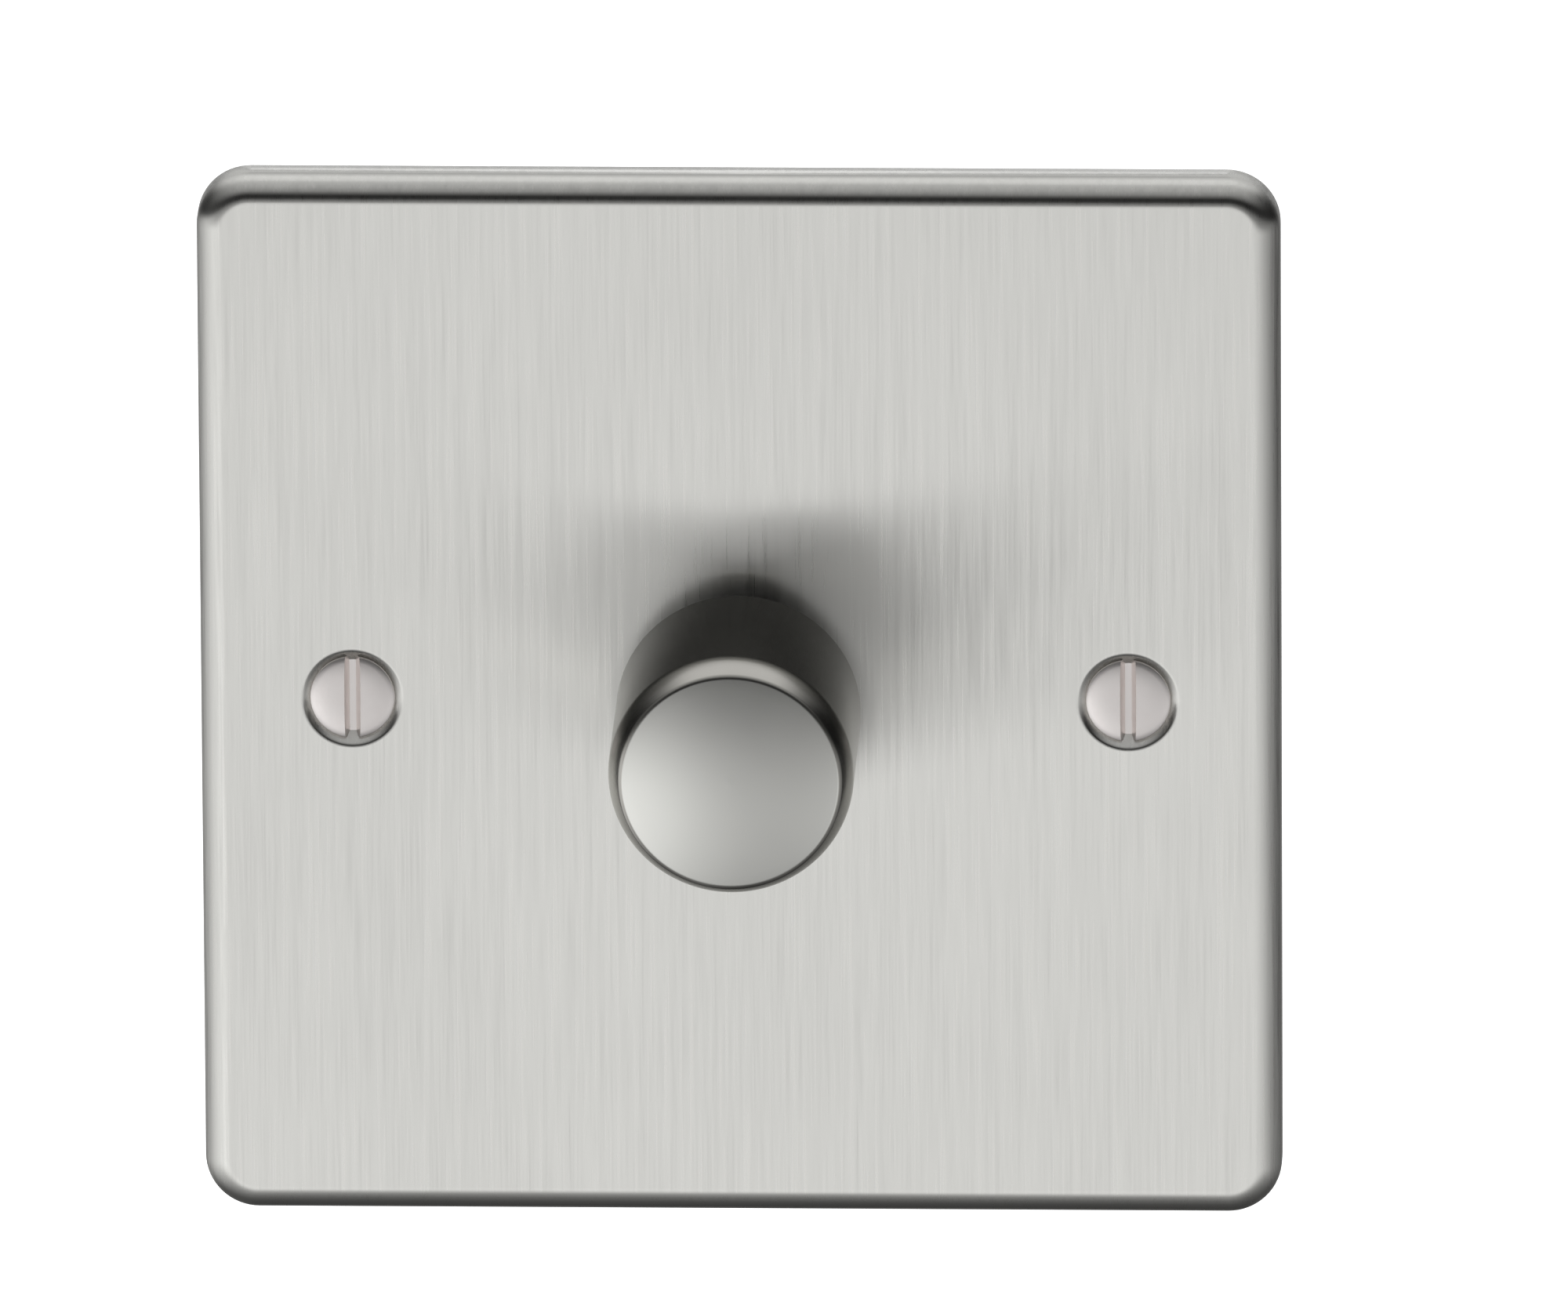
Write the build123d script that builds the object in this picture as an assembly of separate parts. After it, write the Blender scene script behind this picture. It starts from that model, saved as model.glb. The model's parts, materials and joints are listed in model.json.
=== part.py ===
"""One-gang rotary dimmer switch for a flush wall box.

A square brushed steel plate is drawn back to the wall in one bend and carries two slotted fixing
screws. A round metal knob turns a potentiometer and is pushed to switch on and off. Behind the
plate are a moulded backing frame, an aluminium heat sink channel and the dimmer module's case,
with its circuit board, its push switch and three rising-clamp terminals.

Every piece is drawn with x to the right, y up and z out of the wall, heights counted from the
wall's surface. save() then stands the switch up: +Z is up, and the front looks along -Y.
"""
from build123d import *
import math
import os

# Face plate
plate_size = 84.0
plate_depth = 4.0
plate_sheet = 1.2
plate_corner = 4.2  # corner radius seen from the front
plate_lip = 2.0  # straight stretch of the rim below the bend

# Fixing screws, slotted with raised countersunk heads, and their retaining washers
screw_spacing = 60.3
screw_diameter = 3.5
screw_length = 25.0
screw_head = 6.6
screw_dome = 0.3
screw_slot = 1.0
screw_slot_depth = 1.2
screw_tip = 0.6
screw_neck = 2.8  # waist under the head, where the retaining washer sits
screw_neck_gap = 0.3  # between the washer and the thread
sink_hole = 3.9  # clearance hole at the bottom of the plate's countersink
sink_mouth = 7.6
sink_land = 0.3  # straight stretch of that hole
seat_gap = 0.02
retainer_diameter = 8.0
retainer_thickness = 1.2

# Backing frame behind the plate
frame_web = 1.0
frame_wall = 1.2
frame_margin = 0.3  # between the frame and the plate's bend
frame_setback = 0.3  # the frame stops this far in front of the wall
frame_corner = 3.0
frame_rib = 1.0
frame_rib_spacing = 22.0
frame_slip = 0.3  # round what passes through the frame
dimple_slip = 0.3
window_corner = 0.8

# Earth terminal on the back of the plate
earth_x = -17.0
earth_size = 7.6
earth_length = 8.4
earth_corner = 0.5
earth_bore = 3.6
earth_screw_diameter = 3.5
earth_screw_head = 6.0
earth_head_height = 2.2
earth_screw_reach = 2.6  # thread showing between the block and the head
earth_bore_inset = 2.6  # bore's axis behind the plate's inner face, past the bore's radius

# Heat sink channel
heatsink_width = 48.0
heatsink_height = 50.0
heatsink_sheet = 1.5
heatsink_bend = 0.5  # inside radius
heatsink_leg = 13.0
side_screw_y = -15.0
side_screw_z = -5.0
side_screw_diameter = 2.4
side_screw_head = 4.6
side_head_height = 1.5
side_screw_length = 5.0
side_screw_slip = 0.15

# Module case
module_reach = 22.4  # how far the module reaches behind the wall's surface
case_height = 49.0
case_slip = 0.1  # each side, inside the channel
case_wall = 1.6
case_corner = 1.5
case_post = 3.0
boss_size = 6.0
boss_depth = 2.6

# Threaded bush, its nut and its washer
bush_diameter = 10.0
bush_hole_slip = 0.15
bush_flange = 1.5
bush_proud = 0.7  # bush in front of the nut
nut_flats = 13.0
nut_height = 2.2
nut_chamfer = 0.5
washer_thickness = 0.5
washer_diameter = 13.4
washer_teeth = 8
washer_notch = 1.0

# Spindle
spindle_diameter = 6.0
spindle_flat = 2.4  # from the axis to the flat
spindle_slip = 0.05
spindle_chamfer = 0.5
clip_thickness = 0.6
clip_groove = 4.4
clip_diameter = 9.2
clip_mouth = 3.4
clip_gap = 0.1

# Knob
knob_diameter = 19.0
knob_length = 19.0
knob_gap = 3.2  # between the knob and the plate's face
knob_wall = 1.0
knob_front = 1.6
knob_dome = 0.45
knob_edge = 0.7
knob_travel = 1.8
core_rim = 8.0  # how much of the shell the core fills, from its front
core_hub = 9.6
core_pockets = 6
core_pocket = 2.2
core_overlap = 11.4  # spindle inside the core
band_width = 2.2
band_thickness = 0.4
band_mouth = 1.6
core_clear = 0.7  # between the pushed core and the bush

# Potentiometer
pot_diameter = 20.0
pot_depth = 7.0
pot_wall = 0.8
track_thickness = 1.2
carbon_thickness = 0.1
carbon_inner = 11.0
carbon_outer = 15.0
carbon_overrun = 10.0  # degrees of track past each end of the turn
wiper_gap = 0.05
wiper_height = 0.7
wiper_leaf = (6.0, 3.0)  # the brush's leaf, across and along
wiper_corner = 0.6
finger_diameter = 1.0
finger_place = 1.4  # each side of the leaf's middle
rotor_diameter = 16.0
rotor_disc = 2.0
rotor_hub = 9.2
rotor_end_gap = 0.2
stop_root = 1.0  # how deep the stop reaches into the rotor's disc
turn_angle = 270.0
stop_angle = 46.0
stop_slip = 2.0  # degrees left at each end of the turn
run_gap = 0.3  # between pieces that move past each other

# Push switch behind the potentiometer
switch_size = 15.0
switch_depth = 10.0
switch_wall = 1.2
switch_floor = 0.8
switch_corner = 0.6
plunger_boss = 4.4
plunger_boss_height = 1.3
plunger_flange = 1.2
plunger_width = 6.4
plunger_pin = 3.4
plunger_pin_height = 1.4
plunger_corner = 0.5
push_gap = 0.1
bridge_thickness = 0.3
bridge_width = 5.6
contact_gap = 0.05  # left between the strip and the contacts at the end of the push
contact_width = 1.6
contact_height = 2.4
contact_inset = 0.3
tail_gap = 2.0  # between the contacts' tails and the case's floor
spring_wire = 0.45
spring_diameter = 4.8
spring_turns = 4.5

# Circuit board
board_thickness = 1.6
board_drop = 1.8  # between the potentiometer's back and the board
board_slip = 0.3
board_window_slip = 0.3

# Rising-clamp terminals along the bottom of the board
terminal_count = 3
terminal_pitch = 10.6
terminal_length = 11.0
terminal_well_width = 7.4
terminal_well_length = 6.4
terminal_screw_inset = 5.5  # from the case's bottom to the screw's axis
terminal_lip = 0.5
terminal_lip_hole = 4.4
terminal_head = 5.2
terminal_head_height = 1.7
terminal_head_slot = 0.8
terminal_head_slot_depth = 0.9
terminal_thread = 3.0
terminal_ceiling = 1.9  # pocket for the screw's head, behind the lip
terminal_run = 3.95  # screw below its head
clamp_wall = 0.9
clamp_nut = 1.5
clamp_floor = 0.95
clamp_slip = 0.05
bar_width = 4.0
bar_thickness = 0.8
bar_tail = 1.1  # from the terminal housing to the far side of the bar's leg
pin_width = 1.4
pin_proud = 0.8
wire_hole = 3.2
wire_funnel = 4.6
wire_funnel_depth = 0.7

# Components on the board and the heat sink, placed from the case's inner walls
triac_width = 10.0
triac_body = 9.2
triac_tab = 6.3
triac_thickness = 4.5
triac_tab_thickness = 1.3
triac_gap = 0.4  # to the case's side wall and to the potentiometer
triac_low = 3.0  # lower end of the body above the spindle's axis, where the potentiometer lets it
triac_pad = 0.2
triac_lead_pitch = 2.54
triac_lead = 0.7
triac_lead_reach = 1.8
triac_screw_diameter = 3.0
triac_screw_head = 5.4
triac_head_height = 1.8
fuse_diameter = 5.2
fuse_glass = 4.6
fuse_length = 20.0
fuse_cap = 5.4
fuse_gap = 1.2  # between its clips and the case's side wall
fuse_y = 2.5
fuse_height = 3.4  # axis above the board
fuse_clip_sheet = 0.4
choke_outer = 12.4
choke_inner = 6.4
choke_height = 5.4
choke_corner = 0.5
choke_wire = 0.8
choke_turns = 16
choke_slip = 0.05  # between the core and its turns
choke_side_gap = 1.15
choke_top_gap = 0.85
capacitor_width = 17.5
capacitor_height = 8.0
capacitor_corner = 0.6
capacitor_floor_gap = 0.8
capacitor_post_gap = 0.3  # between it and the corner post
capacitor_switch_gap = 2.1
resistor_diameter = 2.4
resistor_length = 6.3
resistor_span = 9.2
resistor_wire = 0.6
resistor_rise = 1.5  # axis above the board
resistor_side = 10.8  # from the case's side wall to their middle
resistor_inset = 3.3  # from the case's bottom wall to the lower one's axis
resistor_pitch = 3.6
resistor_count = 2
diac_side = 12.8
diac_inset = 5.3
diac_diameter = 1.9
diac_length = 4.0
diac_span = 6.6

# Heights, from the knob's front back to the module
sheet_back = plate_depth - plate_sheet
heatsink_back = sheet_back - heatsink_sheet
flange_back = heatsink_back - bush_flange
pot_back = flange_back - pot_depth
switch_back = pot_back - switch_depth
board_front = pot_back - board_drop
board_back = board_front - board_thickness
module_back = -module_reach
case_floor = module_back + case_wall
washer_front = plate_depth + washer_thickness
nut_front = washer_front + nut_height
bush_front = nut_front + bush_proud
knob_back = plate_depth + knob_gap
knob_face = knob_back + knob_length
core_front = knob_face - knob_front
core_back = bush_front + knob_travel + core_clear
spindle_back = pot_back - clip_gap - clip_thickness - clip_gap - spindle_chamfer

# Sizes that follow from others
plate_bend = plate_depth - plate_lip
screw_places = (-screw_spacing / 2, screw_spacing / 2)
head_rim = plate_depth - (sink_mouth - screw_head) / 2 + seat_gap
sink_bottom = plate_depth - (sink_mouth - sink_hole) / 2 - sink_land
frame_size = plate_size - 2 * (plate_bend + frame_margin)
frame_back = frame_setback
case_width = heatsink_width - 2 * (heatsink_sheet + case_slip)
case_bottom = -case_height / 2
case_inner_x = case_width / 2 - case_wall
case_inner_y = case_height / 2 - case_wall
terminal_top = case_bottom + terminal_length
terminal_axis = case_bottom + terminal_screw_inset
terminal_places = [(i - (terminal_count - 1) / 2) * terminal_pitch for i in range(terminal_count)]
head_outside = module_back + terminal_lip
well_ceiling = head_outside + terminal_ceiling
screw_shoulder = well_ceiling
screw_end = screw_shoulder + terminal_run
bar_back = screw_end + clamp_slip
bar_front = bar_back + bar_thickness
clamp_nut_front = bar_back - run_gap
clamp_floor_front = board_back - run_gap
wire_axis = (bar_front + clamp_floor_front - clamp_floor) / 2
dimple_wall = (sink_hole / 2 + plate_sheet, sink_bottom)
dimple_top = sink_hole / 2 + plate_sheet + sheet_back - sink_bottom
screw_room = max(2 * dimple_top, retainer_diameter) + 2 * dimple_slip
triac_x = -(case_inner_x - triac_gap - triac_width / 2)
fuse_x = case_inner_x - fuse_gap - fuse_diameter / 2 - fuse_clip_sheet
choke_radius = choke_outer / 2 + choke_slip + choke_wire
choke_x = case_inner_x - choke_side_gap - choke_radius
choke_y = case_inner_y - choke_top_gap - choke_radius
capacitor_x = -(case_inner_x - case_post - capacitor_post_gap - capacitor_width / 2)
capacitor_y = switch_size / 2 + capacitor_switch_gap + capacitor_height / 2
resistor_x = -case_inner_x + resistor_side
resistor_rows = [-case_inner_y + resistor_inset + i * resistor_pitch for i in range(resistor_count)]
diac_x = case_inner_x - diac_side
diac_y = -case_inner_y + diac_inset


def rod(diameter, low, high, at=(0, 0)):
    """A round bar along z between two heights."""
    bar = Cylinder(diameter / 2, high - low, align=(Align.CENTER, Align.CENTER, Align.MIN))
    return Pos(at[0], at[1], low) * bar


def tube(outer, inner, low, high, at=(0, 0)):
    """A round tube along z, from its two diameters."""
    return rod(outer, low, high, at) - rod(inner, low, high, at)


def block(width, height, low, high, at=(0, 0), corner=0.0):
    """A bar of rectangular section along z, with its corners rounded if asked."""
    outline = RectangleRounded(width, height, corner) if corner else Rectangle(width, height)
    return Pos(at[0], at[1], low) * extrude(outline, high - low)


def ring_sector(inner, outer, start, sweep, low, high):
    """A piece of a ring along z, from its two diameters, a start angle and a sweep in degrees."""
    near, far = inner / 2, outer / 2
    middle, end = start + sweep / 2, start + sweep
    outline = (
        Polyline(polar(near, start), polar(far, start))
        + ThreePointArc(polar(far, start), polar(far, middle), polar(far, end))
        + Polyline(polar(far, end), polar(near, end))
        + ThreePointArc(polar(near, end), polar(near, middle), polar(near, start))
    )
    return Pos(0, 0, low) * extrude(make_face(outline), high - low)


def polar(radius, angle):
    """The point at that radius and angle in degrees."""
    return radius * math.cos(math.radians(angle)), radius * math.sin(math.radians(angle))


def turned(*profile):
    """A solid turned about z from its outline, as (radius, height) points."""
    outline = Polyline(*[(radius, 0, height) for radius, height in profile], close=True)
    return revolve(make_face(outline), Axis.Z)


def d_section(diameter, flat, low, high):
    """A round bar with one flat on its upper side."""
    across = diameter + 2
    return rod(diameter, low, high) - block(across, across, low, high, (0, flat + across / 2))


def domed(diameter, low, rim, height):
    """A round bar up to its rim, closed by a shallow spherical dome of that height."""
    half = diameter / 2
    ball = (half**2 + height**2) / (2 * height)
    middle = half / 2
    rise = math.sqrt(ball**2 - middle**2) - ball + height
    outline = (
        Polyline((0, 0, rim + height), (0, 0, low), (half, 0, low), (half, 0, rim))
        + ThreePointArc((half, 0, rim), (middle, 0, rim + rise), (0, 0, rim + height))
    )
    return revolve(make_face(outline), Axis.Z)


def front_edges(shape):
    """The edges round a shape's frontmost flat face."""
    return shape.faces().sort_by(Axis.Z)[-1].edges()


def faceplate():
    """The drawn steel plate, dimpled and countersunk for its screws and pierced for the bush."""
    outer = block(plate_size, plate_size, 0, plate_depth, corner=plate_corner)
    outer = fillet(front_edges(outer), plate_bend)
    inner_size = plate_size - 2 * plate_sheet
    hollow = block(inner_size, inner_size, 0, sheet_back, corner=plate_corner - plate_sheet)
    hollow = fillet(front_edges(hollow), plate_bend - plate_sheet)
    sheet = outer - hollow
    for x in screw_places:
        dimple = turned(
            (0, sink_bottom), dimple_wall, (dimple_top, sheet_back), (dimple_top, plate_depth - seat_gap),
            (0, plate_depth - seat_gap),
        )
        countersink = turned(
            (0, sink_bottom), (sink_hole / 2, sink_bottom), (sink_hole / 2, sink_bottom + sink_land),
            (sink_mouth / 2, plate_depth), (0, plate_depth),
        )
        sheet = sheet + Pos(x, 0, 0) * dimple - Pos(x, 0, 0) * countersink
    return sheet - rod(bush_diameter + 4 * bush_hole_slip, 0, plate_depth)


def fixing_screw(x):
    """A slotted captive screw with a raised countersunk head and a waist, its thread left plain."""
    neck = head_rim - (screw_head - screw_diameter) / 2
    thread = sink_bottom - retainer_thickness - screw_neck_gap
    end = head_rim - screw_length
    shank = turned(
        (0, end), (screw_diameter / 2 - screw_tip, end), (screw_diameter / 2, end + screw_tip),
        (screw_diameter / 2, thread), (screw_neck / 2, thread), (screw_neck / 2, neck),
        (screw_diameter / 2, neck), (screw_head / 2, head_rim), (0, head_rim),
    )
    cap = domed(screw_head, neck, head_rim, screw_dome) & rod(screw_head, head_rim, head_rim + screw_dome)
    top = head_rim + screw_dome
    slot = block(screw_slot, screw_head, top - screw_slot_depth, top)
    return Pos(x, 0, 0) * (shank + cap - slot)


def screw_retainer(x):
    """The soft washer round a fixing screw's waist, which keeps it in the plate."""
    return tube(retainer_diameter, screw_neck, sink_bottom - retainer_thickness, sink_bottom, (x, 0))


def backing_frame():
    """The moulded frame inside the plate's rim: a web, edge walls and stiffening ribs."""
    web_back = sheet_back - frame_web
    web = block(frame_size, frame_size, web_back, sheet_back, corner=frame_corner)
    rim = block(frame_size, frame_size, frame_back, web_back, corner=frame_corner)
    inner = frame_size - 2 * frame_wall
    rim -= block(inner, inner, frame_back, web_back, corner=frame_corner - frame_wall)
    window = (heatsink_width + 2 * frame_slip, max(heatsink_height, case_height) + 2 * frame_slip)
    collar = block(window[0] + 2 * frame_wall, window[1] + 2 * frame_wall, frame_back, web_back)
    frame = web + rim + collar
    for place in (-frame_rib_spacing / 2, frame_rib_spacing / 2):
        frame += block(inner + frame_wall, frame_rib, frame_back, web_back, (0, place))
        frame += block(frame_rib, inner + frame_wall, frame_back, web_back, (place, 0))
    earth_y = earth_place()[1]
    socket = earth_size + 2 * (frame_slip + frame_wall)
    frame += block(socket, socket, frame_back, web_back, (earth_x, earth_y))
    opening = earth_size + 2 * frame_slip
    frame -= block(opening, opening, frame_back, sheet_back, (earth_x, earth_y))
    frame -= block(window[0], window[1], frame_back, sheet_back, corner=window_corner)
    for x in screw_places:
        frame += rod(screw_room + 2 * frame_wall, frame_back, web_back, (x, 0))
        frame -= rod(screw_room, frame_back, sheet_back, (x, 0))
    return frame - block(window[0], window[1], frame_back, sheet_back, corner=window_corner)


def earth_place():
    """The earth block's centre, midway between the module and the frame's rim."""
    above_module = max(heatsink_height, case_height) / 2 + frame_slip
    below_rim = frame_size / 2 - frame_wall
    return earth_x, (above_module + below_rim) / 2


def earth_bore_height():
    """The height of the earth bore's axis."""
    return sheet_back - earth_bore / 2 - earth_bore_inset


def earth_block():
    """The brass earth pillar riveted behind the plate, bored sideways for the conductor."""
    back = sheet_back - earth_length
    pillar = block(earth_size, earth_size, back, sheet_back, earth_place(), corner=earth_corner)
    x, y = earth_place()
    bore = Cylinder(earth_bore / 2, earth_size, rotation=(0, 90, 0))
    pillar -= Pos(x, y, earth_bore_height()) * bore
    return pillar - rod(earth_screw_diameter, back, earth_bore_height(), (x, y))


def earth_screw():
    """The earth clamping screw, backed out far enough for the conductor."""
    x, y = earth_place()
    tip = earth_bore_height() - earth_bore / 2
    shoulder = sheet_back - earth_length - earth_screw_reach
    end = shoulder - earth_head_height
    screw = rod(earth_screw_diameter, shoulder, tip) + rod(earth_screw_head, end, shoulder)
    screw -= block(screw_slot, earth_screw_head, end, end + screw_slot_depth)
    return Pos(x, y, 0) * screw


def heat_sink():
    """The aluminium channel between the plate and the module's case."""
    leg_end = sheet_back - heatsink_leg
    channel = block(heatsink_width, heatsink_height, leg_end, sheet_back)
    long_edges = channel.faces().sort_by(Axis.Z)[-1].edges().filter_by(Axis.Y)
    channel = fillet(long_edges, heatsink_bend + heatsink_sheet)
    inside = block(heatsink_width - 2 * heatsink_sheet, heatsink_height, leg_end, heatsink_back)
    inside_edges = inside.faces().sort_by(Axis.Z)[-1].edges().filter_by(Axis.Y)
    inside = fillet(inside_edges, heatsink_bend)
    channel -= inside
    channel -= rod(bush_diameter + 2 * bush_hole_slip, heatsink_back, sheet_back)
    channel -= rod(triac_screw_diameter, heatsink_back, sheet_back, triac_hole())
    for x in screw_places:
        channel -= rod(screw_room, leg_end, sheet_back, (x, 0))
    for side in (-1, 1):
        hole = side_rod(side_screw_diameter + 2 * side_screw_slip, heatsink_width / 2 - heatsink_sheet,
                        heatsink_width / 2, side)
        channel -= hole
    return channel


def side_rod(diameter, near, far, side):
    """A round bar along x at the side screw's place, between two distances from the middle."""
    bar = Cylinder(diameter / 2, far - near, rotation=(0, 90, 0))
    return Pos(side * (near + far) / 2, side_screw_y, side_screw_z) * bar


def case_screw(side):
    """A pan-head screw that holds the channel to the module's case."""
    face = heatsink_width / 2
    tip = face - side_screw_length
    screw = side_rod(side_screw_diameter, tip, face, side)
    head = side_rod(side_screw_head, face, face + side_head_height, side)
    screw += head
    slot_depth = side_head_height / 2
    slot = Box(slot_depth, side_screw_head, terminal_head_slot)
    place = Pos(side * (face + side_head_height - slot_depth / 2), side_screw_y, side_screw_z)
    return screw - place * slot


def module_case():
    """The moulded case: an open box with board posts, screw bosses and a bay for the terminals."""
    case = block(case_width, case_height, module_back, heatsink_back)
    case = fillet(case.faces().sort_by(Axis.Z)[0].edges(), case_corner)
    case = chamfer(front_edges(case).filter_by(Axis.Y), heatsink_bend)
    case -= block(2 * case_inner_x, 2 * case_inner_y, case_floor, heatsink_back)
    post_x = case_inner_x - case_post / 2
    post_y = case_inner_y - case_post / 2
    for x in (-post_x, post_x):
        for y in (-post_y, post_y):
            case += block(case_post, case_post, case_floor, board_back, (x, y))
    bay = terminal_count * terminal_pitch + 2 * case_slip
    bay_length = terminal_length + case_slip
    case -= block(bay, bay_length, module_back, board_back, (0, case_bottom + bay_length / 2))
    for side in (-1, 1):
        boss = Box(boss_depth, boss_size, boss_size)
        case += Pos(side * (case_inner_x - boss_depth / 2), side_screw_y, side_screw_z) * boss
        case -= side_rod(side_screw_diameter, case_inner_x - boss_depth, case_width / 2, side)
    return case


def threaded_bush():
    """The bush that carries the spindle and bolts the module to the plate."""
    flange = rod(pot_diameter, flange_back, heatsink_back)
    barrel = rod(bush_diameter, heatsink_back, bush_front)
    barrel = chamfer(front_edges(barrel), nut_chamfer)
    return flange + barrel - rod(spindle_diameter + 2 * spindle_slip, flange_back, bush_front)


def fixing_nut():
    """The thin hexagon nut on the bush, chamfered on its front corners."""
    corner = nut_flats / math.sqrt(3)
    nut = Pos(0, 0, washer_front) * extrude(RegularPolygon(corner, 6), nut_height)
    rounding = turned(
        (0, washer_front), (corner, washer_front), (corner, nut_front - nut_chamfer),
        (corner - 2 * nut_chamfer, nut_front), (0, nut_front),
    )
    return (nut & rounding) - rod(bush_diameter, washer_front, nut_front)


def lock_washer():
    """The internal-tooth washer under the nut."""
    washer = tube(washer_diameter, bush_diameter + 2 * bush_hole_slip, plate_depth, washer_front)
    notch_radius = bush_diameter / 2 + bush_hole_slip
    for i in range(washer_teeth):
        washer -= rod(washer_notch, plate_depth, washer_front, polar(notch_radius, 360 * i / washer_teeth))
    return washer


def knob_shell():
    """The turned metal cap of the knob: straight sides, a rounded front edge and a shallow dome."""
    shell = domed(knob_diameter, knob_back, knob_face - knob_dome, knob_dome)
    rim = shell.edges().filter_by(lambda edge: edge.is_closed).sort_by(Axis.Z)[-1]
    shell = fillet(rim, knob_edge)
    return shell - rod(knob_diameter - 2 * knob_wall, knob_back, core_front)


def knob_core():
    """The moulded core pressed into the shell, with a D bore for the spindle."""
    inside = knob_diameter - 2 * knob_wall
    rim_back = core_front - core_rim
    core = rod(inside, rim_back, core_front) + rod(core_hub, core_back, rim_back)
    pocket_radius = (inside + core_hub) / 4
    for i in range(core_pockets):
        place = polar(pocket_radius, 360 * i / core_pockets)
        core -= rod(core_pocket, rim_back, core_front - knob_front, place)
    bore = d_section(spindle_diameter + 2 * spindle_slip, spindle_flat + spindle_slip, core_back,
                     spindle_front() + clip_gap)
    return core - bore


def spindle_front():
    """The height of the spindle's front end, inside the core."""
    return core_back + core_overlap


def core_band():
    """The sprung band that squeezes the core's hub on to the spindle."""
    low = core_back + (core_front - core_rim - core_back - band_width) / 2
    band = tube(core_hub + 2 * band_thickness, core_hub, low, low + band_width)
    return band - block(band_mouth, core_hub, low, low + band_width, (0, -core_hub / 2))


def spindle():
    """The steel spindle, flatted at the knob and at the rotor and grooved for its clip."""
    front = spindle_front()
    shaft = rod(spindle_diameter, spindle_back, front)
    shaft = chamfer(front_edges(shaft), spindle_chamfer)
    across = spindle_diameter + 2
    cut_y = spindle_flat + across / 2
    shaft -= block(across, across, core_back, front, (0, cut_y))
    shaft -= block(across, across, spindle_back, rotor_front() + knob_travel + run_gap, (0, cut_y))
    groove_back = pot_back - clip_gap - clip_thickness - seat_gap
    groove_front = pot_back - clip_gap + seat_gap
    return shaft - tube(spindle_diameter + 2, clip_groove, groove_back, groove_front)


def spindle_clip():
    """The open ring that keeps the spindle from being pulled out."""
    low = pot_back - clip_gap - clip_thickness
    high = pot_back - clip_gap
    ring = tube(clip_diameter, clip_groove + 2 * spindle_slip, low, high)
    return ring - block(clip_mouth, clip_diameter, low, high, (0, -clip_diameter / 2))


def stop_sweep():
    """The angle of the rotor's stop: what the turn and the fixed stop leave of the circle."""
    return 360 - turn_angle - stop_angle - 2 * stop_slip


def pot_housing():
    """The potentiometer's can, with the fixed stop pressed in at the bottom."""
    inside = pot_diameter - 2 * pot_wall
    floor = pot_back + pot_wall
    can = rod(pot_diameter, pot_back, flange_back) - rod(inside, floor, flange_back)
    can -= rod(spindle_diameter + 2 * run_gap, pot_back, floor)
    stop_front = flange_back - track_thickness - run_gap
    stop = ring_sector(rotor_diameter + 2 * run_gap, inside + pot_wall, -90 - stop_angle / 2, stop_angle,
                       floor, stop_front)
    return can + stop


def track_disc():
    """The insulating disc that carries the carbon track."""
    outer = pot_diameter - 2 * pot_wall - 2 * spindle_slip
    return tube(outer, spindle_diameter + 2 * run_gap, flange_back - track_thickness, flange_back)


def carbon_track():
    """The printed resistive track, open at the bottom between its two ends."""
    back = flange_back - track_thickness
    start = 90 - turn_angle / 2 - carbon_overrun
    return ring_sector(carbon_inner, carbon_outer, start, turn_angle + 2 * carbon_overrun,
                       back - carbon_thickness, back)


def rotor_front():
    """The height of the rotor's front face."""
    return flange_back - track_thickness - carbon_thickness - wiper_gap - wiper_height


def wiper_rotor():
    """The moulded rotor: a disc, a hub with a D bore and the stop that ends the turn."""
    front = rotor_front()
    back = front - rotor_disc
    hub_back = pot_back + pot_wall + rotor_end_gap
    rotor = rod(rotor_diameter, back, front) + rod(rotor_hub, hub_back, back)
    stop_outer = pot_diameter - 2 * pot_wall - 2 * run_gap
    sweep = stop_sweep()
    rotor += ring_sector(rotor_diameter - 2 * stop_root, stop_outer, 90 - sweep / 2, sweep, back, front)
    return rotor - d_section(spindle_diameter + 2 * spindle_slip, spindle_flat + spindle_slip,
                             hub_back, front)


def wiper_contact():
    """The sprung brush on the rotor's face, with two fingers over the track."""
    front = rotor_front()
    radius = (carbon_inner + carbon_outer) / 4
    leaf = wiper_height / 3
    brush = block(*wiper_leaf, front, front + leaf, (0, radius), corner=wiper_corner)
    for x in (-finger_place, finger_place):
        brush += rod(finger_diameter, front + leaf, front + wiper_height, (x, radius))
    return brush


def switch_housing():
    """The push switch's moulded box, open to the potentiometer and slotted for its contacts."""
    floor = switch_back + switch_floor
    inside = switch_size - 2 * switch_wall
    box = block(switch_size, switch_size, switch_back, pot_back, corner=switch_corner)
    box -= block(inside, inside, floor, pot_back)
    for x in contact_places():
        box -= block(contact_width, contact_height, switch_back, floor, (x, 0))
    return box


def contact_places():
    """The two fixed contacts' places, just inside the switch's walls."""
    x = switch_size / 2 - switch_wall - contact_inset - contact_width / 2
    return -x, x


def plunger_top():
    """The height of the plunger's front end, just behind the spindle."""
    return spindle_back - push_gap


def flange_under():
    """The height of the back of the plunger's flange."""
    return plunger_top() - plunger_boss_height - plunger_flange


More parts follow.
